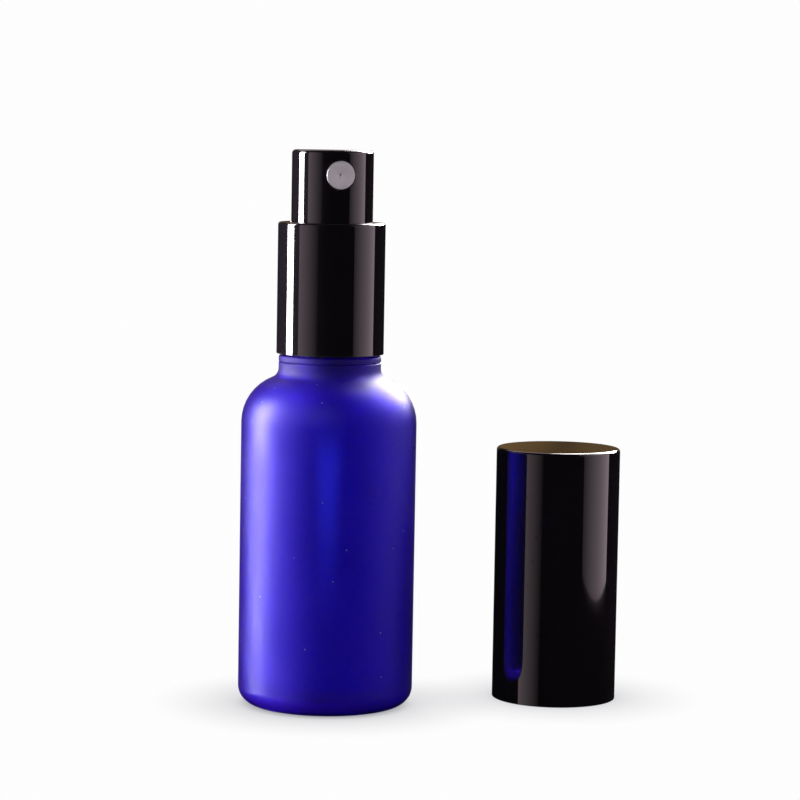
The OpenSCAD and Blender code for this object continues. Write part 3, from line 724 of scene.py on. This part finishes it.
# angle is round the bottle from the camera's side, positive towards the overcap, low and high are the
# panel's heights, and sides is the radiance of its left and right ends as the bottle sees them
panels = {
    "stripLeft": {"angle": -96, "away": 0.36, "low": -0.045, "high": 0.27, "width": 0.12,
                  "tone": (1, 0.98, 0.99), "sides": (46, 46)},
    "panelLeft": {"angle": -49, "away": 0.52, "low": -0.30, "high": 0.40, "width": 0.42,
                  "tone": (1, 0.80, 0.87), "sides": (1.0, 0.05)},
    "panelRight": {"angle": 78, "away": 0.30, "low": -0.03, "high": 0.34, "width": 0.33,
                   "tone": (1, 0.80, 0.90), "sides": (0.2, 1.8)},
    "backRight": {"angle": 147, "away": 0.45, "low": 0.18, "high": 0.50, "width": 0.40,
                  "tone": (1, 0.96, 0.95), "sides": (22, 22)},
    "overhead": {"angle": 170, "away": 0.40, "low": 0.42, "high": 0.62, "width": 0.9,
                 "tone": (1, 0.82, 0.80), "sides": (3.0, 1.5)},
}


aimHeights = (0.05, 0.09)   # the softboxes face the object between these heights


def makePanel(name, panel):
    bm = bmesh.new()
    bmesh.ops.create_grid(bm, x_segments=1, y_segments=1, size=0.5)
    bmesh.ops.scale(bm, verts=bm.verts[:], vec=(panel["width"], panel["high"] - panel["low"], 1))
    mesh = bpy.data.meshes.new(name)
    bm.to_mesh(mesh)
    bm.free()
    angle = math.radians(panel["angle"])
    middle = (panel["high"] + panel["low"]) / 2
    place = facing @ Vector((math.sin(angle) * panel["away"], -math.cos(angle) * panel["away"], middle))
    aim = Vector((0, 0, min(max(middle, aimHeights[0]), aimHeights[1])))
    softbox = bpy.data.objects.new(name, mesh)
    turned = (aim - place).to_track_quat("Z", "Y").to_matrix().to_4x4()
    softbox.matrix_world = Matrix.Translation(place) @ turned
    softbox.visible_camera = False
    softbox.visible_shadow = False
    bpy.context.scene.collection.objects.link(softbox)
    built = bpy.data.materials.new(name)
    built.use_nodes = True
    tree = built.node_tree
    tree.nodes.remove(tree.nodes["Principled BSDF"])
    where = addNode(tree, "TexCoord")
    axes = addNode(tree, "SeparateXYZ")
    across = addNode(tree, "MapRange")
    across.inputs["From Min"].default_value = panel["width"] / 2
    across.inputs["From Max"].default_value = -panel["width"] / 2
    across.inputs["To Min"].default_value, across.inputs["To Max"].default_value = panel["sides"]
    front = addNode(tree, "NewGeometry")
    lit = addNode(tree, "Math", operation="SUBTRACT")
    lit.inputs[0].default_value = 1
    glow = addNode(tree, "Emission", Color=(*panel["tone"], 1))
    strength = combine(tree, "MULTIPLY", across.outputs["Result"], lit.outputs[0])
    linkAll(tree, (where.outputs["Object"], axes.inputs[0]), (axes.outputs["X"], across.inputs["Value"]),
            (front.outputs["Backfacing"], lit.inputs[1]), (strength, glow.inputs["Strength"]),
            (glow.outputs[0], tree.nodes["Material Output"].inputs["Surface"]))
    mesh.materials.append(built)


fill = {"across": 0.8, "high": 0.6, "watts": 1.9, "place": (-0.25, -0.7, 0.45), "aim": (0.02, 0, 0.05)}


def makeFill():
    # a soft front light that wakes the blue of the glass and isn't mirrored in the lacquer
    light = bpy.data.lights.new("frontFill", "AREA")
    light.shape = "RECTANGLE"
    light.size, light.size_y = fill["across"], fill["high"]
    light.energy = fill["watts"]
    lamp = bpy.data.objects.new("frontFill", light)
    place = facing @ Vector(fill["place"])
    lamp.location = place
    lamp.rotation_euler = (Vector(fill["aim"]) - place).to_track_quat("-Z", "Y").to_euler()
    lamp.visible_camera = False
    lamp.visible_glossy = False
    bpy.context.scene.collection.objects.link(lamp)


def makeCamera():
    data = bpy.data.cameras.new("camera")
    data.lens = view["lens"]
    data.sensor_width = view["sensor"]
    data.clip_start = 0.01
    camera = bpy.data.objects.new("camera", data)
    camera.matrix_world = (facing @ Matrix.Translation((view["across"], -view["away"], view["height"]))
                           @ Matrix.Rotation(math.radians(90 - view["pitch"]), 4, "X")
                           @ Matrix.Rotation(math.radians(view["roll"]), 4, "Z"))
    bpy.context.scene.collection.objects.link(camera)
    bpy.context.scene.camera = camera


makeFloor()
makeWorld()
for name, panel in panels.items():
    makePanel(name, panel)
makeFill()
makeCamera()
bpy.context.scene.view_settings.view_transform = "Standard"
print("setting made")
